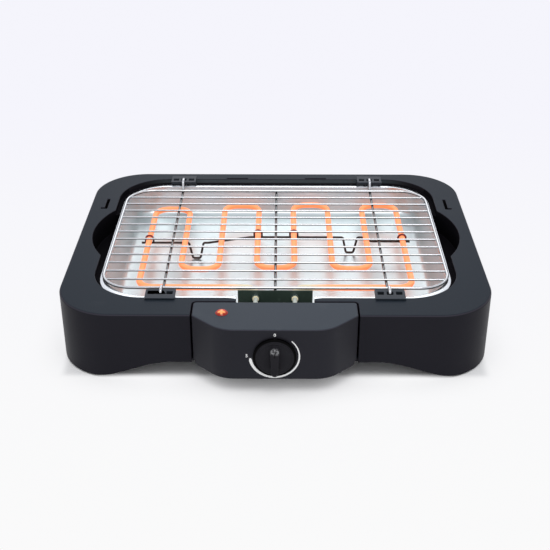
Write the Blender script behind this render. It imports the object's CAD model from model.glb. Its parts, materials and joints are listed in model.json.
import json
import math

import bmesh
import bpy
from mathutils import Matrix, Vector

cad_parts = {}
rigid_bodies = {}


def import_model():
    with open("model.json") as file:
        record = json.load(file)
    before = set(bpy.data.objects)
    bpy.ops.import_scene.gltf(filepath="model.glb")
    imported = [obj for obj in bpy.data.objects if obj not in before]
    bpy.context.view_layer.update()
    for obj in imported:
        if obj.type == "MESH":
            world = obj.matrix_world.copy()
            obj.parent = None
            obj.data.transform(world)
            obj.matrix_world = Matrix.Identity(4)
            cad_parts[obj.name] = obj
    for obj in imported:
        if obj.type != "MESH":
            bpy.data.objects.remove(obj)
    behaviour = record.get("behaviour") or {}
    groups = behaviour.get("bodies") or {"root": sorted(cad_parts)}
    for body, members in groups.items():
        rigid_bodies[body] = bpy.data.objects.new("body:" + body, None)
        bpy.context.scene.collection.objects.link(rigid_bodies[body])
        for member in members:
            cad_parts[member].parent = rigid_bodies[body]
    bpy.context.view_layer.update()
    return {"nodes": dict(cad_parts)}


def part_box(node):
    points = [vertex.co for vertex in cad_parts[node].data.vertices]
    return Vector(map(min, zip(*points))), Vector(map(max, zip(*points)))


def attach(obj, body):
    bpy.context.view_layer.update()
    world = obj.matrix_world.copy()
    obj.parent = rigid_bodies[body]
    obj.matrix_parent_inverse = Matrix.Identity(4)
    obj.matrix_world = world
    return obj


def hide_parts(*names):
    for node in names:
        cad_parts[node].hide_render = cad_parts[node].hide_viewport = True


bl_info = {
    "name": "Table-top grill",
    "version": (1, 0, 0),
    "blender": (4, 5, 0),
    "location": "3D View > Sidebar > Grill",
    "description": "Builds the finished look of a table-top electric grill round its frame",
    "category": "Object",
}

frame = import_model()
MM = 0.001

BODY_LOW, BODY_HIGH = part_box("body_shell")
BODY_Y = (BODY_LOW.y + BODY_HIGH.y) / 2
BODY_HALF_DEPTH = (BODY_HIGH.y - BODY_LOW.y) / 2
BODY_CORNER = 0.064
TRAY_LOW, TRAY_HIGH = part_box("drip_tray")
TRAY_Y = (TRAY_HIGH.y + TRAY_LOW.y) / 2
TRAY_HALF_X = (TRAY_HIGH.x - TRAY_LOW.x) / 2
TRAY_HALF_Y = (TRAY_HIGH.y - TRAY_LOW.y) / 2
GRID_LOW, GRID_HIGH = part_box("grid_frame")
KNOB_LOW, KNOB_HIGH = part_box("control_knob")
LENS_LOW, LENS_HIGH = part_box("pilot_lens")
BOX_LOW, BOX_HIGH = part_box("control_box_cover")


# ---------- Meshes ----------


def piece(name, mesh, paint=None):
    """A new object at the origin that holds a mesh or other data."""
    made = bpy.data.objects.new(name, mesh)
    bpy.context.scene.collection.objects.link(made)
    if paint is not None:
        mesh.materials.clear()
        mesh.materials.append(paint)
    return made


def mesh_from(name, points, faces, edges=()):
    mesh = bpy.data.meshes.new(name)
    mesh.from_pydata([tuple(p) for p in points], edges, faces)
    mesh.update()
    return mesh


def applied(source, name):
    """A plain mesh of an object with its modifiers. The object and its old data go."""
    bpy.context.view_layer.update()
    graph = bpy.context.evaluated_depsgraph_get()
    mesh = bpy.data.meshes.new_from_object(source.evaluated_get(graph))
    old = source.data
    bpy.data.objects.remove(source)
    if old.users == 0:
        kind = bpy.data.meshes if isinstance(old, bpy.types.Mesh) else bpy.data.curves
        kind.remove(old)
    mesh.name = name
    return mesh


def smoothed(mesh, angle):
    """The mesh, smooth except at edges sharper than the angle in degrees."""
    mesh.shade_smooth()
    mesh.set_sharp_from_angle(angle=math.radians(angle))
    return mesh


def bevelled(made, width, segments, angle):
    """Adds rounding to an object's edges that are sharper than the angle in degrees."""
    bevel = made.modifiers.new("Edges", "BEVEL")
    bevel.width, bevel.segments = width, segments
    bevel.limit_method, bevel.angle_limit = "ANGLE", math.radians(angle)
    return bevel


class Edited:
    """A bmesh of the sources, or else of the mesh, that goes into the mesh at the end."""

    def __init__(self, mesh, *sources):
        self.mesh, self.bm = mesh, bmesh.new()
        for source in sources or [mesh]:
            self.bm.from_mesh(source)

    def __enter__(self):
        return self.bm

    def __exit__(self, *error):
        self.bm.to_mesh(self.mesh)
        self.bm.free()


def outward(mesh):
    """Merges doubles and turns every face outwards."""
    with Edited(mesh) as bm:
        bmesh.ops.remove_doubles(bm, verts=bm.verts, dist=1e-6)
        bmesh.ops.recalc_face_normals(bm, faces=bm.faces)
    return mesh


def softened(node, name, width, segments=2):
    """A copy of a CAD node: doubles merged, flat faces joined and edges rounded."""
    flat, sharp, smooth = math.radians(0.6), 35, 40
    mesh = bpy.data.meshes.new(name)
    with Edited(mesh, frame["nodes"][node].data) as bm:
        bmesh.ops.remove_doubles(bm, verts=bm.verts, dist=2e-6)
        bmesh.ops.dissolve_limit(
            bm, angle_limit=flat, use_dissolve_boundaries=False, verts=bm.verts, edges=bm.edges
        )
    made = piece(name, mesh)
    bevel = bevelled(made, width, segments, sharp)
    bevel.use_clamp_overlap = False
    bevel.miter_outer = "MITER_ARC"
    made = piece(name, smoothed(applied(made, name), smooth))
    made.modifiers.new("Even shading", "WEIGHTED_NORMAL").keep_sharp = True
    return applied(made, name)


def rounded_ring(half_x, half_y, radius, centre_y, z, steps):
    """Points of a rounded rectangle, counter-clockwise from above."""
    points = []
    for quarter in range(4):
        x = (half_x - radius) * (1 if quarter in (0, 3) else -1)
        y = (half_y - radius) * (1 if quarter < 2 else -1)
        for i in range(steps + 1):
            a = math.radians(90 * quarter + 90 * i / steps)
            points.append((x + radius * math.cos(a), centre_y + y + radius * math.sin(a), z))
    return points


def loft(rings, caps=False):
    """Points and faces of a skin over rings of as many points each."""
    size = len(rings[0])
    points = [p for ring in rings for p in ring]
    faces = []
    for a in range(0, len(points) - size, size):
        for i in range(size):
            k = (i + 1) % size
            faces.append((a + i, a + k, a + size + k, a + size + i))
    if caps:
        faces.append(tuple(reversed(range(size))))
        faces.append(tuple(range(len(points) - size, len(points))))
    return points, faces


def turned(profile, steps):
    """Points and faces of (radius, y) pairs turned about the Y axis. A radius of 0 closes them."""
    points, faces, rows = [], [], []
    for r, y in profile:
        start = len(points)
        if r <= 0:
            points.append((0, y, 0))
            rows.append([start] * steps)
            continue
        for i in range(steps):
            a = 2 * math.pi * i / steps
            points.append((r * math.cos(a), y, r * math.sin(a)))
        rows.append(list(range(start, start + steps)))
    for low, high in zip(rows, rows[1:]):
        for i in range(steps):
            k = (i + 1) % steps
            face = [low[i], low[k], high[k], high[i]]
            face = [v for n, v in enumerate(face) if v not in face[:n]]
            if len(face) > 2:
                faces.append(tuple(face))
    return points, faces


def wire_line(steps, start, heading=0.0, arc=7.5):
    """Centre line of a bent wire.

    Each step is a straight length, then a bend's radius and its turn in degrees.
    """
    at = Matrix.Translation(start) @ Matrix.Rotation(math.radians(heading), 4, "Z")
    line = [at.translation.copy()]
    for run, radius, turn in steps:
        at = at @ Matrix.Translation((run, 0, 0))
        if run > 0:
            line.append(at.translation.copy())
        count = math.ceil(abs(turn) / arc)
        side = math.copysign(1, turn)
        bend = Matrix.Identity(4)
        for i in range(1, count + 1):
            a = math.radians(turn * i / count)
            place = (radius * math.sin(abs(a)), side * radius * (1 - math.cos(a)), 0)
            bend = Matrix.Translation(place) @ Matrix.Rotation(a, 4, "Z")
            line.append((at @ bend).translation)
        at = at @ bend
    return line


def cut_block(target, low, high):
    """Cuts the block between two corners out of an object. It goes once the cut is applied."""
    spans = list(zip(low, high))
    corners = [(x, y, z) for x in spans[0] for y in spans[1] for z in spans[2]]
    faces = [(0, 1, 3, 2), (4, 6, 7, 5), (0, 4, 5, 1), (2, 3, 7, 6), (0, 2, 6, 4), (1, 5, 7, 3)]
    tool = piece("cutter", mesh_from("cutter", corners, faces))
    cut = target.modifiers.new("Cut", "BOOLEAN")
    cut.operation, cut.solver, cut.object = "DIFFERENCE", "EXACT", tool
    return tool


def shifted(mesh, offset):
    mesh.transform(Matrix.Translation(offset))
    return mesh


def upright(points):
    """Points turned about the Y axis, stood up about the Z axis."""
    return [(x, z, y) for x, y, z in points]


# ---------- Nodes ----------


class Term:
    """A value in a node tree, so that its maths reads as plain arithmetic."""

    def __init__(self, nodes, socket):
        self.nodes = nodes
        self.socket = socket

    def __add__(self, other):
        return self.nodes.maths("ADD", self, other)

    def __sub__(self, other):
        return self.nodes.maths("SUBTRACT", self, other)

    def __rsub__(self, other):
        return self.nodes.maths("SUBTRACT", other, self)

    def __mul__(self, other):
        return self.nodes.maths("MULTIPLY", self, other)

    def __pow__(self, other):
        return self.nodes.maths("POWER", self, other)

    def __abs__(self):
        return self.nodes.maths("ABSOLUTE", self)

    __radd__ = __add__
    __rmul__ = __mul__


class Nodes:
    """A node tree that is filled by kind, values and settings."""

    def __init__(self, tree):
        self.tree = tree

    def node(self, kind, values=None, out=0, **settings):
        made = self.tree.nodes.new(kind)
        for key, value in settings.items():
            setattr(made, key, value)
        for key, value in (values or {}).items():
            self.feed(made.inputs[key], value)
        return Term(self, made.outputs[out])

    def feed(self, socket, value):
        if isinstance(value, Term):
            self.tree.links.new(value.socket, socket)
        elif socket.type == "RGBA" and len(value) == 3:
            socket.default_value = (*value, 1.0)
        else:
            socket.default_value = value

    def maths(self, operation, *values):
        return self.node("ShaderNodeMath", dict(enumerate(values)), operation=operation)

    def parts(self, vector):
        """The x, y and z of a vector."""
        split = self.node("ShaderNodeSeparateXYZ", {0: vector}).socket.node
        return [Term(self, socket) for socket in split.outputs]


# ---------- Geometry Nodes ----------


class Geometry(Nodes):
    """One Geometry Nodes tree with named inputs."""

    def __init__(self, name, **inputs):
        super().__init__(bpy.data.node_groups.new(name, "GeometryNodeTree"))
        face = self.tree.interface
        face.new_socket("Geometry", in_out="INPUT", socket_type="NodeSocketGeometry")
        self.ids = {}
        for label, (kind, default) in {**inputs, "Material": ("Material", None)}.items():
            made = face.new_socket(label, in_out="INPUT", socket_type="NodeSocket" + kind)
            if default is not None:
                made.default_value = default
            self.ids[label] = made.identifier
        face.new_socket("Geometry", in_out="OUTPUT", socket_type="NodeSocketGeometry")
        self.inside = self.tree.nodes.new("NodeGroupInput")
        self.outside = self.tree.nodes.new("NodeGroupOutput")

    def __getitem__(self, label):
        return Term(self, self.inside.outputs[label])

    def round_wire(self, line, sides):
        """Wire along a line, its radius given by the tree's input."""
        circle = {"Resolution": sides, "Radius": self["Radius"]}
        ring = self.node("GeometryNodeCurvePrimitiveCircle", circle)
        tube = {"Curve": line, "Profile Curve": ring, "Fill Caps": True}
        return self.node("GeometryNodeCurveToMesh", tube)

    def finish(self, geometry):
        """Realizes instances, sets the material and ends the tree."""
        real = self.node("GeometryNodeRealizeInstances", {"Geometry": geometry})
        painted = {"Geometry": real, "Material": self["Material"]}
        self.feed(self.outside.inputs[0], self.node("GeometryNodeSetMaterial", painted))
        return self

    def grow(self, name, mesh, **values):
        """Runs the tree on a mesh and returns the plain mesh it makes."""
        made = piece(name, mesh)
        modifier = made.modifiers.new("Geometry", "NODES")
        modifier.node_group = self.tree
        for label, value in values.items():
            modifier[self.ids[label]] = value
        return smoothed(applied(made, name), 50)


def swept_wire():
    """Round wire along every edge path of a mesh."""
    g = Geometry("Swept wire", Radius=("Float", 0.002), Sides=("Int", 16))
    line = g.node("GeometryNodeMeshToCurve", {"Mesh": g["Geometry"]})
    return g.finish(g.round_wire(line, g["Sides"]))


def barred_grid():
    """Parallel bars welded inside a rounded frame."""
    g = Geometry(
        "Grid bars",
        Count=("Int", 12),
        Pitch=("Float", 0.0202),
        Width=("Float", 0.399),
        Corner=("Float", 0.034),
        Reach=("Float", 0.0325),
        Radius=("Float", 0.0012),
    )
    count, pitch, corner, reach = (g[label] for label in ("Count", "Pitch", "Corner", "Reach"))
    start = g.node("ShaderNodeCombineXYZ", {"Y": (count - 1.0) * 0.5 * pitch * -1.0})
    step = g.node("ShaderNodeCombineXYZ", {"Y": pitch})
    row = g.node("GeometryNodeMeshLine", {"Count": count, "Start Location": start, "Offset": step})
    # A bar that lies beside the frame's corners is shorter
    y = g.parts(g.node("GeometryNodeInputPosition"))[1]
    into = g.maths("MAXIMUM", abs(y) - ((count + 1.0) * (pitch * 0.5) - corner), 0.0)
    beside = g.maths("SQRT", reach * reach - into * into)
    half = g["Width"] * 0.5 - corner + beside
    ends = {"Start": (-1.0, 0.0, 0.0), "End": (1.0, 0.0, 0.0)}
    bar = g.node("GeometryNodeCurvePrimitiveLine", ends)
    size = g.node("ShaderNodeCombineXYZ", {"X": half, "Y": 1.0, "Z": 1.0})
    bars = g.node("GeometryNodeInstanceOnPoints", {"Points": row, "Instance": bar, "Scale": size})
    lines = g.node("GeometryNodeRealizeInstances", {"Geometry": bars})
    return g.finish(g.round_wire(lines, 16))


def placed_copies():
    """Copies of one object on every point of a mesh."""
    g = Geometry("Placed copies", Copy=("Object", None))
    copy = g.node("GeometryNodeObjectInfo", {"Object": g["Copy"]}, "Geometry")
    spots = g.node("GeometryNodeMeshToPoints", {"Mesh": g["Geometry"]})
    return g.finish(g.node("GeometryNodeInstanceOnPoints", {"Points": spots, "Instance": copy}))


# ---------- Materials ----------


class Paint(Nodes):
    """The node tree of one material, or of a world."""

    def __init__(self, name, library="materials", output="ShaderNodeOutputMaterial"):
        self.owner = getattr(bpy.data, library).new(name)
        self.owner.use_nodes = True
        super().__init__(self.owner.node_tree)
        self.tree.nodes.clear()
        self.output = self.tree.nodes.new(output)

    def where(self):
        """Object coordinates."""
        return self.node("ShaderNodeTexCoord", out="Object")

    def place(self, scale=(1, 1, 1), offset=(0, 0, 0)):
        """Object coordinates, moved and scaled."""
        return self.node(
            "ShaderNodeMapping", {"Vector": self.where(), "Location": offset, "Scale": scale}
        )

    def up(self):
        """How far the surface faces up, from -1 to 1."""
        return self.parts(self.node("ShaderNodeNewGeometry", out="Normal"))[2]

    def noise(self, scale, detail=2.0, stretch=(1, 1, 1)):
        place = self.place(stretch)
        return self.node("ShaderNodeTexNoise", {"Vector": place, "Scale": scale, "Detail": detail})

    def cells(self, scale):
        return self.node("ShaderNodeTexVoronoi", {"Vector": self.place(), "Scale": scale})

    def band(self, value, low, high):
        """0 below low, 1 above high, smooth between. With low above high it falls instead."""
        ends = {"Value": value, "From Min": low, "From Max": high}
        return self.node("ShaderNodeMapRange", ends, interpolation_type="SMOOTHSTEP")

    def between(self, first, second, factor):
        """A colour from first to second."""
        sides = {"Factor": factor, 6: first, 7: second}
        return self.node("ShaderNodeMix", sides, 2, data_type="RGBA")

    def shades(self, colour, low, high, factor):
        """A colour from one of its shades to another."""
        return self.between(shade_of(colour, low), shade_of(colour, high), factor)

    def seen(self):
        """1 for rays that show a surface, directly or mirrored, and 0 for rays that light it."""
        kinds = ("Is Camera Ray", "Is Glossy Ray", "Is Transmission Ray")
        camera, glossy, through = (self.node("ShaderNodeLightPath", out=kind) for kind in kinds)
        return self.maths("MAXIMUM", self.maths("MAXIMUM", camera, glossy), through)

    def end(self, shader):
        self.feed(self.output.inputs["Surface"], shader)
        return self.owner

    def shade(self, tone, rough, height=None, strength=0.1, distance=0.0001, **more):
        """Ends in a Principled shader: a colour, a roughness, a bump and other inputs by name."""
        inputs = {"Base Color": tone, "Roughness": rough}
        if height is not None:
            bump = {"Height": height, "Strength": strength, "Distance": distance}
            inputs["Normal"] = self.node("ShaderNodeBump", bump)
        inputs.update((key.replace("_", " "), value) for key, value in more.items())
        return self.end(self.node("ShaderNodeBsdfPrincipled", inputs))


def shade_of(colour, factor):
    return tuple(min(1.0, c * factor) for c in colour[:3])


def moulded_plastic(name, colour, roughness, gloss, grain, sheen=(1.0, 1.0, 1.0), top=None):
    """Spark-eroded plastic: an even grain, faint clouding, rubbed places and worn upper edges.

    top is the colour of its level upper faces, which handling has paled.
    """
    p = Paint(name)
    fine, coarse, cloud = p.noise(2600.0), p.noise(700.0, 3.0), p.noise(9.0, 4.0)
    rubbed = p.band(p.noise(34.0, 5.0, (1, 1, 2)), 0.60, 0.78)
    up = p.up()
    worn = p.band(up, 0.30, 0.62) * p.band(up, 0.97, 0.86) * (0.7 + 0.3 * cloud)
    tone = p.shades(colour, 0.88, 1.16, cloud)
    tone = p.between(tone, shade_of(colour, 1.35), rubbed * 0.35)
    tone = p.between(tone, shade_of(colour, 4.0), worn * 0.6)
    if top is not None:
        tone = p.between(tone, top, p.band(up, 0.85, 0.97) * (0.8 + 0.2 * cloud))
    rough = roughness - 0.07 * rubbed + 0.08 * (cloud - 0.5) + 0.05 * (fine - 0.5)
    height = fine * 0.6 + coarse * 0.4
    return p.shade(tone, rough, height, grain, Specular_IOR_Level=gloss, Specular_Tint=sheen)


def back_wall(name, colour, light):
    """The opening's back wall: paler in its middle, with the body's colour at its foot and ends."""
    p = Paint(name)
    x, _, z = p.parts(p.where())
    fine = p.noise(2600.0)
    share = p.band(abs(x), 0.190, 0.120) * p.band(z, TRAY_HIGH.z + 0.0004, TRAY_HIGH.z + 0.0026)
    tone = p.between(shade_of(colour, 0.6), light, share * (0.85 + 0.15 * p.noise(30.0, 3.0)))
    return p.shade(tone, 0.5 + 0.05 * (fine - 0.5), fine, 0.1, Specular_IOR_Level=0.05)


def knob_plastic(name, colour, ring, axis_z):
    """Smooth plastic: near black outside a radius, rubbed light at the upper end of the grip."""
    p = Paint(name)
    x, y, z = p.parts(p.where())
    up = z - axis_z
    r = (x * x + up * up) ** 0.5
    cloud = p.noise(60.0, 4.0)
    tone = p.shades(colour, 0.85, 1.2, cloud)
    tone = p.between(tone, shade_of(colour, 0.04), p.band(r, ring - 0.0006, ring + 0.0004))
    end = p.band(up, 0.0098, 0.0140) * p.band(abs(x), 0.0056, 0.0040)
    end = end * p.band(y, KNOB_LOW.y + 0.006, KNOB_LOW.y + 0.002)
    tone = p.between(tone, (0.24, 0.24, 0.25), end * p.band(p.noise(420.0, 3.0), 0.35, 0.60))
    rough = 0.38 + 0.08 * (cloud - 0.5)
    return p.shade(tone, rough, p.noise(1800.0), 0.06, Specular_IOR_Level=0.04)


def bright_sheet(name, look, shaded):
    """Bright rolled sheet: faint roll marks, pale walls, a polished edge and two dull patches.

    shaded gives the nearest and farthest x of a dull patch and its least reach in y.
    """
    p = Paint(name)
    x, y, z = p.parts(p.where())
    floor = TRAY_LOW.z + look.thickness
    wall = p.band(z, floor + look.curve_height, floor + 0.024)
    edge = p.band(z, TRAY_HIGH.z - 0.0025, TRAY_HIGH.z - 0.0012)
    roll, cloud = p.noise(60.0, 6.0, (1, 26, 26)), p.noise(14.0, 4.0)
    spots = p.band(p.cells(85.0), 0.10, 0.03)
    low, high, reach = shaded
    front = TRAY_Y - y
    dull = p.band(abs(x), low, low + 0.001) * p.band(abs(x), high, high - 0.001)
    dull = dull * p.band(front, reach, reach + 0.001)
    dull = dull * p.band(z, TRAY_HIGH.z - 0.012, TRAY_HIGH.z - 0.006)
    tone = p.between(shade_of(look.sheet, 0.93), look.sheet, p.band(cloud, 0.35, 0.65))
    tone = p.between(tone, look.lip, 0.55 * wall)
    tone = p.between(tone, shade_of(look.sheet, 0.97), roll * (1 - wall))
    tone = p.between(p.between(tone, look.lip, edge), (0.004, 0.004, 0.004), dull)
    rough = look.roughness + 0.10 * (roll - 0.5) + 0.05 * p.band(cloud, 0.4, 0.7)
    rough = rough + 0.03 * spots - 0.12 * edge
    return p.shade(tone, rough, roll * 0.5 + cloud * 2.0, 0.05, 0.0004, Metallic=1.0)


def plated_wire(name, colour, low_z=None):
    """Chromed wire: faint drawn lines and heat tint, and dark where it faces the heat.

    Below low_z the wire has lost most of its shine.
    """
    p = Paint(name)
    drawn = p.noise(420.0, 3.0, (1, 8, 8))
    heat = p.band(p.noise(22.0, 3.0), 0.52, 0.75)
    tinted = (colour[0] * 0.93, colour[1] * 0.88, colour[2] * 0.80)
    tone = p.between(colour, tinted, heat * 0.5)
    if low_z is not None:
        low = p.band(p.parts(p.where())[2], low_z + 0.0006, low_z - 0.0006)
        tone = p.between(tone, shade_of(colour, 0.28), low)
    under = p.band(p.up(), 0.42, -0.10)
    tone = p.between(tone, shade_of(colour, 0.16), under)
    rough = 0.14 + 0.10 * (drawn - 0.5) + 0.08 * heat + 0.10 * under
    return p.shade(tone, rough, drawn, 0.04, Metallic=1.0)


def dark_wire(name, colour, tube_z):
    """Wire that heat has turned dark, with lighter scale. It glows dull red over the tube."""
    p = Paint(name)
    near = p.band(p.parts(p.where())[2], tube_z - 0.003, tube_z + 0.004)
    scale = p.noise(260.0, 4.0)
    tone = p.shades(colour, 0.55, 1.6, p.band(scale, 0.35, 0.75))
    tone = p.between(tone, (0.16, 0.035, 0.030), near * 0.8)
    glow = p.between((0.0, 0.0, 0.0), (0.16, 0.020, 0.018), near * p.band(scale, 0.2, 0.7))
    rough = 0.45 + 0.25 * (scale - 0.5)
    light = {"Emission_Color": glow, "Emission_Strength": 1.0}
    return p.shade(tone, rough, scale, 0.15, 0.0002, Metallic=0.6, **light)


def glowing_tube(name, look):
    """A hot tube. It glows along its whole length except near its two ends, which stay pale."""
    p = Paint(name)
    x, y, _ = p.parts(p.where())
    front = p.band(y, BODY_Y - 0.094, BODY_Y - 0.100)
    cold = front * p.band(abs(x), look.cold_half + 0.022, look.cold_half - 0.010)
    mottle, fine = p.noise(70.0, 4.0), p.noise(900.0, 3.0)
    top = p.band(p.up(), 0.15, 0.95)
    hot = p.between(look.hot, look.hot_bright, top * (0.55 + 0.45 * p.band(mottle, 0.35, 0.70)))
    glow = p.between(hot, (0.30, 0.24, 0.13), cold)
    tone = p.between(shade_of(look.hot, 0.9), look.cold, cold)
    rough = 0.45 + 0.2 * (fine - 0.5)
    light = {"Emission_Color": glow, "Emission_Strength": look.glow}
    return p.shade(tone, rough, fine, 0.08, 0.0002, Specular_IOR_Level=0.3, **light)


def coated_steel(name, colour, roughness):
    """Pressed steel under a thin coat, with edges and dents a little worn."""
    p = Paint(name)
    cloud, fine = p.noise(45.0, 5.0), p.noise(1200.0)
    worn = p.band(p.noise(120.0, 6.0), 0.62, 0.72)
    tone = p.shades(colour, 0.7, 1.35, cloud)
    tone = p.between(tone, shade_of(colour, 2.2), worn * 0.5)
    return p.shade(tone, roughness + 0.15 * (cloud - 0.5), fine + cloud * 2.0, 0.10, 0.0002)


def turned_metal(name, colour, roughness):
    """Small turned or plated metal pieces."""
    p = Paint(name)
    lines = p.noise(900.0, 3.0, (1, 1, 5))
    dull = p.band(p.noise(160.0, 4.0), 0.45, 0.7)
    tone = p.between(colour, shade_of(colour, 0.75), dull)
    return p.shade(tone, roughness + 0.15 * (lines - 0.5) + 0.12 * dull, lines, 0.08, Metallic=1.0)


def fired_ceramic(name, colour):
    """Unglazed ceramic with fine pits and a dusty bloom."""
    p = Paint(name)
    dust, pits = p.noise(90.0, 5.0), p.band(p.cells(1400.0), 0.25, 0.10)
    tone = p.shades(colour, 0.82, 1.04, dust)
    tone = p.between(tone, shade_of(colour, 0.6), pits * 0.4)
    return p.shade(tone, 0.72 + 0.15 * (dust - 0.5), dust - pits, 0.2, 0.0002)


def soft_rubber(name, colour):
    """Matt rubber with a fine skin and a little dust."""
    p = Paint(name)
    skin = p.noise(1600.0, 3.0)
    dust = p.band(p.noise(60.0, 4.0), 0.5, 0.8)
    tone = p.between(colour, shade_of(colour, 2.4), dust * 0.35)
    return p.shade(tone, 0.78 + 0.12 * (skin - 0.5), skin, 0.2, Specular_IOR_Level=0.3)


def lit_lens(name, look):
    """Translucent lens lit by the lamp under it: a pale cross on orange, with a dark red rim."""
    p = Paint(name)
    middle = (LENS_LOW + LENS_HIGH) / 2
    u, v, _ = p.parts(p.place(offset=(-middle.x, -middle.y, 0)))
    rim = (u * u + v * v) ** 0.5
    lit_y = v + look.lamp_shift
    r = (u * u + lit_y * lit_y) ** 0.5
    across = p.band(abs(lit_y), 0.0017, 0.0005) * p.band(abs(u), 0.0050, 0.0026)
    along = p.band(abs(u), 0.0017, 0.0006) * p.band(abs(lit_y), 0.0042, 0.0020)
    facets = p.cells(900.0)
    base = p.between(look.lens, look.lens_glow, p.band(r, 0.0048, 0.0018))
    base = p.between(base, shade_of(look.lens, 0.35), p.band(rim, 0.0040, 0.0056))
    base = p.between(base, shade_of(look.lens, 0.5), p.band(facets, 0.3, 0.8) * 0.3)
    lit = p.between(base, look.star, p.maths("MAXIMUM", across, along))
    tone, rough = shade_of(look.lens, 0.4), 0.16 + 0.08 * facets
    light = {"Emission_Color": lit, "Emission_Strength": look.lens_strength}
    shine = {"Specular_IOR_Level": 0.25, "Coat_Weight": 0.08}
    return p.shade(tone, rough, facets, 0.12, 0.0002, **shine, **light)


def printed_ink(name, colour):
    """Pad-printed ink: flat, a little thin in places."""
    p = Paint(name)
    thin = p.band(p.noise(500.0, 4.0), 0.55, 0.8)
    return p.shade(p.between(colour, shade_of(colour, 0.72), thin), 0.55 + 0.1 * thin)


# ---------- Sizes and colours ----------


def tint(name, text, default):
    return bpy.props.FloatVectorProperty(
        name=name, description=text, subtype="COLOR", size=3, min=0.0, max=1.0, default=default
    )


def length(name, text, default):
    return bpy.props.FloatProperty(
        name=name, description=text, unit="LENGTH", subtype="DISTANCE", precision=4, default=default
    )


def angle(name, text, default):
    return bpy.props.FloatProperty(name=name, description=text, subtype="ANGLE", default=default)


def level(name, text, default, low, high, **more):
    return bpy.props.FloatProperty(
        name=name, description=text, min=low, max=high, default=default, **more
    )


class BodyLook(bpy.types.PropertyGroup):
    plastic: tint("Plastic", "Colour of the moulded body and control box", (0.0138, 0.0129, 0.0170))
    top: tint("Upper faces", "Colour of the level upper faces", (0.0178, 0.0245, 0.0335))
    back_wall: tint(
        "Back wall", "Colour of the opening's back wall, which the tray lights", (0.060, 0.075, 0.084)
    )
    sheen: tint("Sheen", "Tint of the body's soft shine", (0.78, 0.87, 1.0))
    support: tint("Supports", "Colour of the grid supports", (0.0200, 0.0240, 0.0300))
    roughness: level("Roughness", "Roughness of the moulded plastic", 0.42, 0.1, 1.0)
    gloss: level("Gloss", "Specular level of the moulded plastic", 0.070, 0.0, 1.0)
    box_gloss: level("Box gloss", "Specular level of the control box", 0.16, 0.0, 1.0)
    edge: length("Edge radius", "Rounding of the body's small edges", 0.0008)
    box_edge: length("Box edge radius", "Rounding of the control box's edges", 0.0014)


class TrayLook(bpy.types.PropertyGroup):
    sheet: tint("Sheet", "Colour of the bright sheet", (0.650, 0.710, 0.715))
    lip: tint("Edge", "Colour of the polished flat edge", (0.80, 0.84, 0.86))
    roughness: level("Roughness", "Roughness of the bright sheet", 0.36, 0.02, 1.0)
    thickness: length("Thickness", "Thickness of the sheet", 0.001)
    flange: length("Flat edge", "Width of the flat edge", 0.005)
    dull: length("Dull edge", "Depth of the dull patch under a front support", 0.0082)
    front: length("Front edge", "How much wider the flat edge is at the front", 0.008)
    slope: length("Slope", "How far the foot of the wall lies inside the edge", 0.015)
    curve: length("Curve", "Width of the curve between wall and floor", 0.007)
    curve_height: length("Curve height", "Height of the curve between wall and floor", 0.004)
    corner: length("Corner radius", "Corner radius of the outer edge", 0.058)
    floor_corner: length("Floor corner radius", "Corner radius where wall and floor meet", 0.020)
    notch: length("Notch half-width", "Half-width of the notch for the bracket", 0.0435)
    notch_floor: length("Notch floor", "Height of the notch's floor", 0.0545)


class GridLook(bpy.types.PropertyGroup):
    wire: tint("Wire", "Colour of the plated wire", (0.58, 0.60, 0.61))
    bars: bpy.props.IntProperty(
        name="Bars", description="Number of bars inside the frame", default=12, min=2, max=40
    )
    pitch: length("Pitch", "Distance between two bars", 0.0202)
    bar: length("Bar radius", "Radius of a bar", 0.0012)
    rim: length("Frame radius", "Radius of the frame wire", 0.0017)
    cross: length("Cross wire radius", "Radius of a cross wire", 0.0016)
    corner: length("Corner radius", "Corner radius of the frame", 0.034)
    weld: length("Weld", "Depth of each weld", 0.0002)


class ElementLook(bpy.types.PropertyGroup):
    hot: tint("Hot", "Colour of the glow", (0.87, 0.235, 0.090))
    hot_bright: tint("Hottest", "Colour of the glow at its brightest", (0.97, 0.395, 0.185))
    cold: tint("Cold ends", "Colour of the tube near its terminals", (0.72, 0.66, 0.50))
    glow: level("Glow", "Strength of the glow", 0.88, 0.0, 20.0)
    cold_half: length("Cold reach", "How far the cold ends reach from the middle", 0.045)
    radius: length("Tube radius", "Radius of the tube", 0.0035)


class ControlLook(bpy.types.PropertyGroup):
    knob: tint("Knob", "Colour of the knob", (0.0180, 0.0175, 0.0210))
    ink: tint("Print", "Colour of the dial's print", (0.97, 0.97, 0.97))
    knob_radius: length("Knob radius", "Radius of the knob's skirt", 0.023)
    face_radius: length("Face radius", "Radius of the knob's face", 0.0194)
    dial_radius: length("Dial radius", "Radius of the printed wedge", 0.0259)
    lens: tint("Lens", "Colour of the lamp's lens", (0.42, 0.022, 0.010))
    lens_glow: tint("Lens glow", "Colour of the lens where it glows", (0.86, 0.17, 0.03))
    star: tint("Cross", "Colour of the lamp's bright cross", (0.92, 0.48, 0.17))
    lens_rim: length("Lens rim", "How far the dome overlaps its hole", 0.0006)
    lamp_shift: length(
        "Lamp shift", "How far the bright cross lies in front of the lens's middle", 0.0022
    )
    lens_strength: level("Lens strength", "Strength of the lens's glow", 1.0, 0.0, 20.0)


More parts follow.
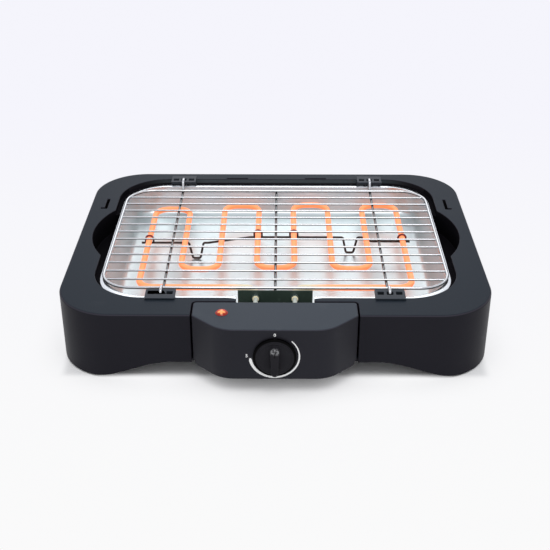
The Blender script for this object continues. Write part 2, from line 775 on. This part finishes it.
class StageLook(bpy.types.PropertyGroup):
    floor: tint("Floor", "Colour of the floor in front", (0.955, 0.955, 0.957))
    far: tint("Far floor", "Colour of the floor and the backdrop behind", (0.913, 0.910, 0.973))
    sky: level("Sky", "Strength of the light from all round", 0.74, 0.0, 10.0)
    key: level("Key lamp", "Power of the lamp above the front", 11.0, 0.0, 1000.0, unit="POWER")
    fill: level("Fill lamp", "Power of the large soft lamp behind", 6.0, 0.0, 1000.0, unit="POWER")
    contact: length("Shadow reach", "How far the grill's shadow reaches over the floor", 0.055)
    camera: bpy.props.FloatVectorProperty(
        name="Camera",
        description="Place of the camera",
        subtype="TRANSLATION",
        size=3,
        default=(0.00547, -1.08698, 0.64023),
    )
    tilt: angle("Tilt", "Camera's angle from straight down", math.radians(61.0))
    turn: angle("Turn", "Camera's turn about the vertical", 0.005835)
    lens: level("Lens", "Focal length in millimetres on a 36 mm sensor", 66.48, 10.0, 400.0)


LOOKS = {
    "grill_body": BodyLook,
    "grill_tray": TrayLook,
    "grill_grid": GridLook,
    "grill_element": ElementLook,
    "grill_control": ControlLook,
    "grill_stage": StageLook,
}


# ---------- Pieces ----------


def finish_piece(name, mesh, paint, slot, body, *nodes):
    """Puts a finished mesh in the scene as a piece that stands for its CAD nodes."""
    made = piece(name, mesh, paint)
    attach(made, body)
    if nodes:
        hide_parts(*nodes)


def repaint(paint, *nodes):
    """Gives CAD nodes their finish."""
    for node in nodes:
        mesh = frame["nodes"][node].data
        mesh.materials.clear()
        mesh.materials.append(paint)


def body_part(face):
    """0 outside, 1 inside the opening and the hand recesses, 2 on the opening's back wall."""
    skin, rim, gap, arches, edge = 0.006, 0.014, 0.004, 0.026, 0.0011
    at, facing = face.center, face.normal
    past_x = abs(at.x) - (BODY_HIGH.x - BODY_CORNER)
    past_y = abs(at.y - BODY_Y) - (BODY_HALF_DEPTH - BODY_CORNER)
    rounded = past_x > 0 and past_y > 0
    if rounded and math.hypot(past_x, past_y) > BODY_CORNER - skin:
        return 0
    if abs(at.x) >= BODY_HIGH.x - rim or not arches < at.z < BODY_HIGH.z - edge:
        return 0
    if not TRAY_LOW.y - gap < at.y < TRAY_HIGH.y + gap:
        return 0
    wall = at.y > BODY_Y and facing.y < -0.5 and at.z > TRAY_HIGH.z - 0.0008
    return 2 if wall else 1


def foot_pads():
    """One ringed rubber pad under each foot."""
    low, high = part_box("foot_pads")
    radius, height = 0.009, high.z - low.z
    # Shares of the radius and of the height
    profile = [(0, 0.3), (0.35, 0.3), (0.42, 0), (0.58, 0), (0.65, 0.3), (0.72, 0)]
    profile += [(0.93, 0), (1, 0.2), (1, 1), (0, 1)]
    points, faces = turned([(r * radius, z * height) for r, z in profile], 40)
    pad = piece("pad", outward(mesh_from("pad", upright(points), faces)))
    half_x, half_y = high.x - radius, (high.y - low.y) / 2 - radius
    middle = (high.y + low.y) / 2
    spots = [(sx * half_x, middle + sy * half_y, low.z) for sx in (-1, 1) for sy in (-1, 1)]
    rubber = soft_rubber("Pad rubber", (0.012, 0.012, 0.012))
    spots = mesh_from("spots", spots, [])
    mesh = placed_copies().grow("rubber_pads", spots, Copy=pad, Material=rubber)
    bpy.data.objects.remove(pad)
    finish_piece("rubber_pads", mesh, rubber, "foot_rubber", "base", "foot_pads")


class GRILL_OT_body(bpy.types.Operator):
    """Build the moulded body and its feet"""

    bl_idname = "grill.body"
    bl_label = "Body"

    def execute(self, context):
        look = context.scene.grill_body
        plastic = moulded_plastic(
            "Body plastic", look.plastic, look.roughness, look.gloss, 0.12, look.sheen, look.top
        )
        well = moulded_plastic("Well plastic", shade_of(look.plastic, 0.35), 0.75, 0.02, 0.2)
        wall = back_wall("Back wall plastic", look.plastic, look.back_wall)
        mesh = softened("body_shell", "body_casing", look.edge)
        finish_piece("body_casing", mesh, plastic, "charcoal_plastic", "base", "body_shell")
        mesh.materials.append(well)
        mesh.materials.append(wall)
        for face in mesh.polygons:
            face.material_index = body_part(face)
        foot_pads()
        return {"FINISHED"}


def upper_side(look):
    """The upper side from the outer edge down to the floor, as inset and height."""
    top, floor = TRAY_HIGH.z, TRAY_LOW.z + look.thickness
    lip = Vector((look.flange, top))
    knee = Vector((look.slope, floor + look.curve_height))
    toe = Vector((look.slope + look.curve * 1.15, floor))
    wall = knee - lip
    line = [(0.0002, top - 0.0005), (0.0003, top - 0.0001), (0.0006, top)]
    line += [(look.flange - 0.0012, top)]
    line += soft_corner(Vector(line[-1]), lip, lip + wall * 0.05, 4)
    line += soft_corner(lip + wall * 0.90, knee + Vector((0.0006, -0.0032)), toe, 8)
    return line


def soft_corner(start, corner, end, steps):
    """Points of a soft corner, without its start."""
    shares = [i / steps for i in range(1, steps + 1)]
    return [tuple(start * (1 - u) ** 2 + corner * 2 * u * (1 - u) + end * u * u) for u in shares]


def under_side(line, t):
    """The under side of a sheet of thickness t whose upper side is the line."""
    made = []
    for i, point in enumerate(line):
        before, after = Vector(line[max(i - 1, 0)]), Vector(line[min(i + 1, len(line) - 1)])
        along = (after - before).normalized()
        normal = Vector((along.y, -along.x))
        made.append(tuple(Vector(point) + normal * t))
    inset, height = line[0]
    made[:2] = [(inset, height - t * 0.6), (inset + 0.0001, height - t * 0.9 + 0.0005)]
    made[2] = (line[2][0], line[2][1] - t)
    return made


def tray_ring(look, inset, z):
    """The tray's outline at an inset. Its corners tighten towards the floor."""
    share = min(max(0.0, inset - look.flange) / (look.slope - look.flange), 1)
    radius = look.corner - look.flange
    radius = radius + (look.floor_corner - radius) * share
    if inset < look.flange:
        radius = look.corner - inset
    if inset > look.slope:
        radius = look.floor_corner - (inset - look.slope)
    wider = look.front * (1 - share) if inset > look.flange / 2 else 0.0
    half_x, half_y = TRAY_HALF_X - inset, TRAY_HALF_Y - inset - wider / 2
    return rounded_ring(half_x, half_y, radius, TRAY_Y + wider / 2, z, 14)


class GRILL_OT_tray(bpy.types.Operator):
    """Build the bright drip tray"""

    bl_idname = "grill.tray"
    bl_label = "Tray"

    def execute(self, context):
        look = context.scene.grill_tray
        upper = upper_side(look)
        rings = [tray_ring(look, *p) for p in under_side(upper, look.thickness)[::-1] + upper]
        tray = piece("tray_raw", outward(mesh_from("tray_raw", *loft(rings, caps=True))))
        low = (-look.notch, BODY_LOW.y, look.notch_floor)
        tool = cut_block(tray, low, (look.notch, TRAY_Y - TRAY_HALF_Y / 2, TRAY_HIGH.z + 0.01))
        bevelled(tray, 0.0002, 1, 60)
        mesh = smoothed(applied(tray, "reflector_tray"), 35)
        bpy.data.objects.remove(tool)
        low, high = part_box("grid_support_back_right")
        sheet = bright_sheet("Tray sheet", look, (low.x, high.x, TRAY_HALF_Y - look.dull))
        finish_piece("reflector_tray", mesh, sheet, "bright_tray", "tray", "drip_tray")
        return {"FINISHED"}


def add_apron(mesh, low, high):
    """Adds the thin apron that closes a front support towards the tray's middle."""
    thickness, side, height, gap = 0.0009, 0.0012, 0.0052, 0.0010
    size = Vector((high.x - low.x - 2 * side, thickness, height))
    y, z = high.y - 0.0002 - thickness / 2, TRAY_HIGH.z + gap + size.z / 2
    place = Matrix.Translation(((low.x + high.x) / 2, y, z)) @ Matrix.Diagonal((*size, 1.0))
    with Edited(mesh) as bm:
        bmesh.ops.create_cube(bm, size=1.0, matrix=place)


class GRILL_OT_supports(bpy.types.Operator):
    """Build the four grid supports"""

    bl_idname = "grill.supports"
    bl_label = "Grid supports"

    def execute(self, context):
        look = context.scene.grill_body
        plastic = moulded_plastic("Support plastic", look.support, 0.5, 0.34, 0.18, look.sheen)
        for place in ("front_left", "front_right", "back_left", "back_right"):
            node, name = "grid_support_" + place, "support_" + place
            mesh = softened(node, name, 0.0005)
            if place.startswith("front"):
                add_apron(mesh, *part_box(node))
            finish_piece(name, mesh, plastic, "support_plastic", "tray", node)
        return {"FINISHED"}


def wire_mesh(tree, name, points, radius, sides, paint, closed=False):
    """Wire along a line of points, made by the swept wire's tree."""
    edges = [(i, i + 1) for i in range(len(points) - 1)]
    if closed:
        edges.append((len(points) - 1, 0))
    line = mesh_from(name, points, [], edges)
    return tree.grow(name, line, Radius=radius, Sides=sides, Material=paint)


def cross_wires(look, tree, y, chrome):
    """The wires that cross under the bars: two with hooked ends and a straight one."""
    for side in ("left", "right", "centre"):
        name, node = "cross_wire_" + side, "grid_cross_wire_" + side
        low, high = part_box(node)
        x, z = (low.x + high.x) / 2, (low.z + high.z) / 2
        line = [(low.y, z), (y, z), (high.y, z)]
        if side != "centre":
            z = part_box("grid_cross_wire_centre")[0].z + look.cross
            hook = hooked_end(look, low, high, z, y)
            line = [(2 * y - p[0], p[1]) for p in reversed(hook)] + hook
        line = [(x, *p) for p in line]
        mesh = wire_mesh(tree, name, line, look.cross, 16, chrome)
        finish_piece(name, mesh, chrome, "chrome_wire", "grid", node)


def hooked_end(look, low, high, z, y):
    """One end of a cross wire, as (y, z) from the middle outwards: over the support and down."""
    bend, turn = 0.004, 60
    slope = math.radians(turn)
    top = high.z - look.cross
    start, end = y + 0.133, high.y - look.cross - bend
    rise = 2 * bend * (1 - math.cos(slope))
    slant = (top - z - rise) / math.sin(slope)
    across = end - start - 2 * bend * math.sin(slope) - slant * math.cos(slope)
    steps = [(start - y, bend, turn), (slant, bend, -turn), (across, bend, -90)]
    steps += [(top - bend - TRAY_HIGH.z, 0, 0)]
    return [(y + p.x, z + p.y) for p in wire_line(steps, (0, 0, 0))[1:]]


class GRILL_OT_grid(bpy.types.Operator):
    """Build the wire grid"""

    bl_idname = "grill.grid"
    bl_label = "Grid"

    def execute(self, context):
        look = context.scene.grill_grid
        chrome = plated_wire("Plated wire", look.wire)
        width = GRID_HIGH.x - GRID_LOW.x - 2 * look.rim
        y, z = (GRID_HIGH.y + GRID_LOW.y) / 2, (GRID_HIGH.z + GRID_LOW.z) / 2
        low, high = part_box("grid_bars")
        bar_z = (low.z + high.z) / 2
        bars = barred_grid().grow(
            "bars",
            mesh_from("seed", [(0, 0, 0)], []),
            Count=look.bars,
            Pitch=look.pitch,
            Width=width,
            Corner=look.corner,
            Reach=look.corner - look.rim + look.weld,
            Radius=look.bar,
            Material=chrome,
        )
        shifted(bars, (0, y, bar_z))
        finish_piece("bars", bars, chrome, "chrome_wire", "grid", "grid_bars")
        tree = swept_wire()
        half_y = (GRID_HIGH.y - GRID_LOW.y) / 2 - look.rim
        ring = rounded_ring(width / 2, half_y, look.corner, y, z, 16)
        rim = wire_mesh(tree, "grid_rim", ring, look.rim, 16, chrome, closed=True)
        finish_piece("grid_rim", rim, chrome, "chrome_wire", "grid", "grid_frame")
        cross_wires(look, tree, y, plated_wire("Cross wire", look.wire, bar_z + look.bar))
        return {"FINISHED"}


def printed_dial(look):
    """The printed wedge that widens as the heat rises, with a number at each end."""
    ink = printed_ink("Dial print", look.ink)
    front = BOX_LOW.y - 0.00004
    z = (KNOB_LOW.z + KNOB_HIGH.z) / 2
    first, last, steps = 47.0, -175.0, 90
    narrow, growth, blunt, depth = 0.00055, 0.00105, 0.0011, 0.00012
    points, faces = [], []
    for i in range(steps + 1):
        share = i / steps
        a = math.radians(first + (last - first) * share)
        half = narrow + growth * share if share < 0.985 else blunt
        for r in (look.dial_radius - half, look.dial_radius + half):
            for y in (front, front + depth):
                points.append((r * math.cos(a), y, z + r * math.sin(a)))
    for a in range(0, 4 * steps, 4):
        for j, k in ((0, 2), (2, 3), (3, 1), (1, 0)):
            faces.append((a + j, a + k, a + k + 4, a + j + 4))
    end = 4 * steps
    faces += [(0, 1, 3, 2), (end, end + 2, end + 3, end + 1)]
    mesh = outward(mesh_from("dial_wedge", points, faces))
    finish_piece("dial_wedge", mesh, ink, None, "heater")
    for name, word, x, up in (("dial_low", "0", 0.0, 0.0262), ("dial_high", "5", -0.0295, 0.0008)):
        finish_piece(name, printed_number(word, 0.0052, (x, front, z + up)), ink, None, "heater")


def printed_number(word, size, at):
    """A printed number, upright on the front of the box."""
    text = bpy.data.curves.new("number", "FONT")
    text.body, text.size = word, size
    text.align_x = text.align_y = "CENTER"
    text.extrude, text.offset = 0.00005, size * 0.02
    mesh = smoothed(applied(piece("number", text), "number"), 30)
    mesh.transform(Matrix.Translation(at) @ Matrix.Rotation(math.pi / 2, 4, "X"))
    return outward(mesh)


class GRILL_OT_control_box(bpy.types.Operator):
    """Build the control box and its dial"""

    bl_idname = "grill.control_box"
    bl_label = "Control box"

    def execute(self, context):
        body, look = context.scene.grill_body, context.scene.grill_control
        colour, top = shade_of(body.plastic, 1.1), shade_of(body.top, 1.5)
        plastic = moulded_plastic(
            "Box plastic", colour, body.roughness, body.box_gloss, 0.12, body.sheen, top
        )
        mesh = softened("control_box_cover", "box_shell", body.box_edge)
        finish_piece("box_shell", mesh, plastic, "charcoal_plastic", "heater", "control_box_cover")
        base = moulded_plastic("Cover plastic", shade_of(body.plastic, 0.7), 0.55, 0.25, 0.2)
        mesh = softened("control_box_base", "box_bottom", 0.0004)
        finish_piece("box_bottom", mesh, base, "base_plastic", "heater", "control_box_base")
        printed_dial(look)
        return {"FINISHED"}


def knob_grip(base, front):
    """The upright grip: a tapered bar with round ends, soft edges and a slot at its mark."""

    def outline(inset, y):
        points = []
        for first, radius, z in ((0, 0.0051, 0.0119), (180, 0.0043, -0.0127)):
            r = radius - inset
            for a in range(first, first + 181, 12):
                points.append((r * math.cos(math.radians(a)), y, z + r * math.sin(math.radians(a))))
        return points

    # Insets and depths, from the face outwards
    steps = [(-0.0006, base), (-0.0001, base - 0.0008), (0.0, base - 0.0020)]
    steps += [(0.0003, front + 0.0020), (0.0005, front + 0.0012), (0.0010, front + 0.0005)]
    steps += [(0.0017, front + 0.0001), (0.0024, front)]
    points, faces = loft([outline(*step) for step in steps], caps=True)
    made = piece("grip", outward(mesh_from("grip", points, faces)))
    tool = cut_block(made, (-0.0006, front - 0.001, 0.0078), (0.0006, front + 0.0009, 0.020))
    mesh = smoothed(applied(made, "grip"), 42)
    bpy.data.objects.remove(tool)
    return mesh


class GRILL_OT_knob(bpy.types.Operator):
    """Build the control knob"""

    bl_idname = "grill.knob"
    bl_label = "Knob"

    def execute(self, context):
        look = context.scene.grill_control
        z = (KNOB_LOW.z + KNOB_HIGH.z) / 2
        front, back = KNOB_LOW.y, KNOB_HIGH.y
        skirt, face = back - 0.003, back - 0.005
        inside = skirt + 0.0006
        r, f = look.knob_radius, look.face_radius
        # From the front of the shaft's hole, round the hollow back and the skirt, to the face
        profile = [(0, front + 0.0035), (0.003, front + 0.0035), (0.003, back), (0.006, back)]
        profile += [(0.006, inside), (r - 0.0025, inside), (r - 0.0025, back), (r - 0.0002, back)]
        profile += [(r, back - 0.0003), (r, skirt + 0.0009), (r - 0.0003, skirt + 0.0003)]
        profile += [(r - 0.0009, skirt), (f + 0.0006, skirt), (f + 0.0001, skirt - 0.0003)]
        profile += [(f, skirt - 0.0008), (f, face + 0.0006), (f - 0.0002, face + 0.0002)]
        profile += [(f - 0.0007, face), (f - 0.0016, face), (f - 0.0020, face + 0.0003)]
        profile += [(f - 0.0024, face + 0.0003), (f - 0.0028, face), (0.010, face + 0.0002)]
        profile += [(0, face + 0.0002)]
        disc = outward(mesh_from("disc", *turned(profile, 96)))
        mesh = bpy.data.meshes.new("knob")
        with Edited(mesh, disc, knob_grip(face + 0.0004, front)) as bm:
            bmesh.ops.translate(bm, vec=(0, 0, z), verts=bm.verts)
        plastic = knob_plastic("Knob plastic", look.knob, (r + f) / 2 - 0.0006, z)
        finish_piece("knob", smoothed(mesh, 42), plastic, "knob_plastic", "knob", "control_knob")
        return {"FINISHED"}


class GRILL_OT_lamp(bpy.types.Operator):
    """Build the pilot lamp"""

    bl_idname = "grill.lamp"
    bl_label = "Pilot lamp"

    def execute(self, context):
        look = context.scene.grill_control
        middle = (LENS_LOW + LENS_HIGH) / 2
        radius = (LENS_HIGH.x - LENS_LOW.x) / 2 + look.lens_rim
        top, seat, bore, steps = LENS_HIGH.z, BOX_HIGH.z, 0.0033, 12
        height = top - seat
        ball = (radius * radius + height * height) / (2 * height)
        profile = [(0, top)]
        for i in range(1, steps + 1):
            r = radius * i / steps - (0.0001 if i == steps else 0)
            profile.append((r, top - ball + math.sqrt(ball * ball - r * r)))
        profile += [(radius, seat + 0.0001), (radius, seat), (radius - 0.0005, seat)]
        profile += [(radius - 0.0005, LENS_LOW.z), (bore, LENS_LOW.z)]
        profile += [(bore, seat - 0.001), (0, seat - 0.001)]
        points, faces = turned(profile, 48)
        mesh = smoothed(outward(mesh_from("lamp_lens", upright(points), faces)), 40)
        shifted(mesh, (middle.x, middle.y, 0))
        lens = lit_lens("Lamp lens", look)
        finish_piece("lamp_lens", mesh, lens, "lens_plastic", "heater", "pilot_lens")
        repaint(fired_ceramic("Neon lamp", (0.9, 0.5, 0.25)), "neon_lamp")
        return {"FINISHED"}


def tube_steps(pitch, end):
    """Straight lengths, bend radii and turns of the tube, from one terminal to the other.

    All lengths are in millimetres. end is how far the terminals' ends lie in front of the middle.
    """
    bend, end_bend, terminal = 17, 13, 22
    rear, front, run_y = [107, 118, 121, 120], [58, 54, 56], 101
    hop = pitch - 2 * bend
    run = 3.5 * pitch - bend - terminal - end_bend
    stub = end - run_y - end_bend
    steps = [(stub, end_bend, 90), (run, bend, -90), (rear[0] + run_y - 2 * bend, bend, -90)]
    for k in range(3):
        steps += [(hop, bend, -90), (rear[k] + front[k] - 2 * bend, bend, 90)]
        steps += [(hop, bend, 90), (rear[k + 1] + front[k] - 2 * bend, bend, -90)]
    steps += [(hop, bend, -90), (rear[3] + run_y - 2 * bend, bend, -90)]
    return steps + [(run, end_bend, 90), (stub, 0, 0)]


class GRILL_OT_element(bpy.types.Operator):
    """Build the glowing element and the wire that carries it"""

    bl_idname = "grill.element"
    bl_label = "Heating element"

    def execute(self, context):
        look = context.scene.grill_element
        low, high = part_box("heating_element")
        z = (low.z + high.z) / 2
        hot = glowing_tube("Hot tube", look)
        pitch = (high.x - low.x - 2 * look.radius) / 7 / MM
        end = (BODY_Y - low.y) / MM
        steps = [(run * MM, bend * MM, turn) for run, bend, turn in tube_steps(pitch, end)]
        line = wire_line(steps, (-0.022, low.y, z), 90, 6)
        mesh = wire_mesh(swept_wire(), "hot_tube", line, look.radius, 20, hot)
        finish_piece("hot_tube", mesh, hot, "element_sheath", "heater", "heating_element")
        repaint(dark_wire("Rest wire", (0.045, 0.030, 0.026), z), "element_support_wire")
        return {"FINISHED"}


class GRILL_OT_fittings(bpy.types.Operator):
    """Finish the bracket, terminals, screws and the pieces inside the control box"""

    bl_idname = "grill.fittings"
    bl_label = "Fittings"

    def execute(self, context):
        coat = coated_steel("Bracket coat", (0.040, 0.062, 0.050), 0.32)
        mesh = softened("heater_bracket", "bracket", 0.0002, 1)
        finish_piece("bracket", mesh, coat, "bracket_steel", "heater", "heater_bracket")
        repaint(turned_metal("Collar steel", (0.56, 0.66, 0.66), 0.35), "terminal_collars")
        repaint(fired_ceramic("Sleeve ceramic", (0.66, 0.70, 0.64)), "terminal_sleeves")
        repaint(turned_metal("Terminal brass", (0.80, 0.68, 0.40), 0.3), "terminal_pins")
        repaint(fired_ceramic("Thermostat ceramic", (0.60, 0.55, 0.45)), "thermostat")
        zinc = turned_metal("Zinc plate", (0.62, 0.63, 0.65), 0.32)
        repaint(zinc, "box_screws", "bracket_screws", "thermostat_screws", "clamp_screws")
        repaint(zinc, "thermostat_shaft")
        inner = moulded_plastic("Inner plastic", (0.02, 0.02, 0.022), 0.5, 0.3, 0.1)
        repaint(inner, "safety_switch", "cord_clamp")
        red = moulded_plastic("Plunger plastic", (0.35, 0.05, 0.035), 0.35, 0.5, 0.05)
        repaint(red, "switch_plunger")
        cream = moulded_plastic("Block plastic", (0.72, 0.69, 0.60), 0.45, 0.4, 0.1)
        repaint(cream, "terminal_block")
        repaint(soft_rubber("Gland rubber", (0.014, 0.014, 0.015)), "cord_gland")
        repaint(soft_rubber("Lead insulation", (0.45, 0.05, 0.035)), "lead_wires")
        return {"FINISHED"}


def floor_paint(look):
    """Pale and plain to the eye and to reflections, except where the grill's shadow lies."""
    p = Paint("Floor")
    x, y, _ = p.parts(p.where())
    tone = p.between(look.floor, look.far, p.band(y, -0.5, 0.8))
    wide, deep, soft = BODY_HIGH.x, BODY_HALF_DEPTH, 0.012
    under = p.band(abs(x), wide, wide - soft) * p.band(abs(y - BODY_Y), deep, deep - soft)
    matt = {"Base Color": tone, "Roughness": 0.9, "Specular IOR Level": 0.0}
    lit = p.node("ShaderNodeBsdfPrincipled", matt)
    plain = p.node("ShaderNodeEmission", {"Color": tone, "Strength": 1.0})
    clear = p.node("ShaderNodeAmbientOcclusion", {"Distance": look.contact}, "AO", samples=12)
    share = p.seen() * p.band(clear, 0.0, 1.0) * (1 - under)
    return p.end(p.node("ShaderNodeMixShader", {0: share, 1: lit, 2: plain}))


def studio_world(look):
    """White to the eye and to reflections, and a plain level of light on everything else."""
    p = Paint("Studio", "worlds", "ShaderNodeOutputWorld")
    light = p.node("ShaderNodeBackground", {"Color": (0.98, 0.99, 1.0), "Strength": look.sky})
    white = p.node("ShaderNodeBackground", {"Color": look.far, "Strength": 1.0})
    return p.end(p.node("ShaderNodeMixShader", {0: p.seen(), 1: light, 2: white}))


def soft_lamp(name, power, place, size):
    """A square soft lamp that faces the grill."""
    light = bpy.data.lights.new(name, "AREA")
    light.energy, light.size = power, size
    made = piece(name, light)
    made.location = place
    aim = Vector((0, 0, 0.05)) - Vector(place)
    made.rotation_euler = aim.to_track_quat("-Z", "Y").to_euler()


class GRILL_OT_stage(bpy.types.Operator):
    """Set up the floor, the light and the camera"""

    bl_idname = "grill.stage"
    bl_label = "Stage"

    def execute(self, context):
        scene = context.scene
        look = scene.grill_stage
        scene.view_settings.view_transform = "Standard"
        reach = 6.0
        corners = [(-reach, -reach, 0), (reach, -reach, 0), (reach, reach, 0), (-reach, reach, 0)]
        piece("floor", mesh_from("floor", corners, [(0, 1, 2, 3)]), floor_paint(look))
        scene.world = studio_world(look)
        soft_lamp("key_lamp", look.key, (0.1, -1.0, 1.9), 0.9)
        soft_lamp("fill_lamp", look.fill, (0.0, 2.2, 1.55), 1.2)
        lens = bpy.data.cameras.new("Camera")
        lens.lens, lens.sensor_width = look.lens, 36.0
        lens.clip_start, lens.clip_end = 0.01, 50.0
        camera = piece("Camera", lens)
        camera.location = look.camera
        camera.rotation_euler = (look.tilt, 0.0, look.turn)
        scene.camera = camera
        return {"FINISHED"}


OPERATORS = (
    GRILL_OT_body,
    GRILL_OT_tray,
    GRILL_OT_supports,
    GRILL_OT_grid,
    GRILL_OT_control_box,
    GRILL_OT_knob,
    GRILL_OT_lamp,
    GRILL_OT_element,
    GRILL_OT_fittings,
    GRILL_OT_stage,
)


class GRILL_PT_panel(bpy.types.Panel):
    """Lists the grill's pieces"""

    bl_label = "Table-top grill"
    bl_idname = "GRILL_PT_panel"
    bl_space_type = "VIEW_3D"
    bl_region_type = "UI"
    bl_category = "Grill"

    def draw(self, context):
        for operator in OPERATORS:
            self.layout.operator(operator.bl_idname)
        for name, kind in LOOKS.items():
            box = self.layout.box()
            look = getattr(context.scene, name)
            for key in kind.__annotations__:
                box.prop(look, key)


def register():
    for name, kind in LOOKS.items():
        bpy.utils.register_class(kind)
        setattr(bpy.types.Scene, name, bpy.props.PointerProperty(type=kind))
    for kind in (*OPERATORS, GRILL_PT_panel):
        bpy.utils.register_class(kind)


def unregister():
    for kind in reversed((*OPERATORS, GRILL_PT_panel)):
        bpy.utils.unregister_class(kind)
    for name, kind in LOOKS.items():
        delattr(bpy.types.Scene, name)
        bpy.utils.unregister_class(kind)


def main():
    register()
    bpy.ops.grill.body()
    bpy.ops.grill.tray()
    bpy.ops.grill.supports()
    bpy.ops.grill.grid()
    bpy.ops.grill.control_box()
    bpy.ops.grill.knob()
    bpy.ops.grill.lamp()
    bpy.ops.grill.element()
    bpy.ops.grill.fittings()
    bpy.ops.grill.stage()


if __name__ == "__main__":
    main()
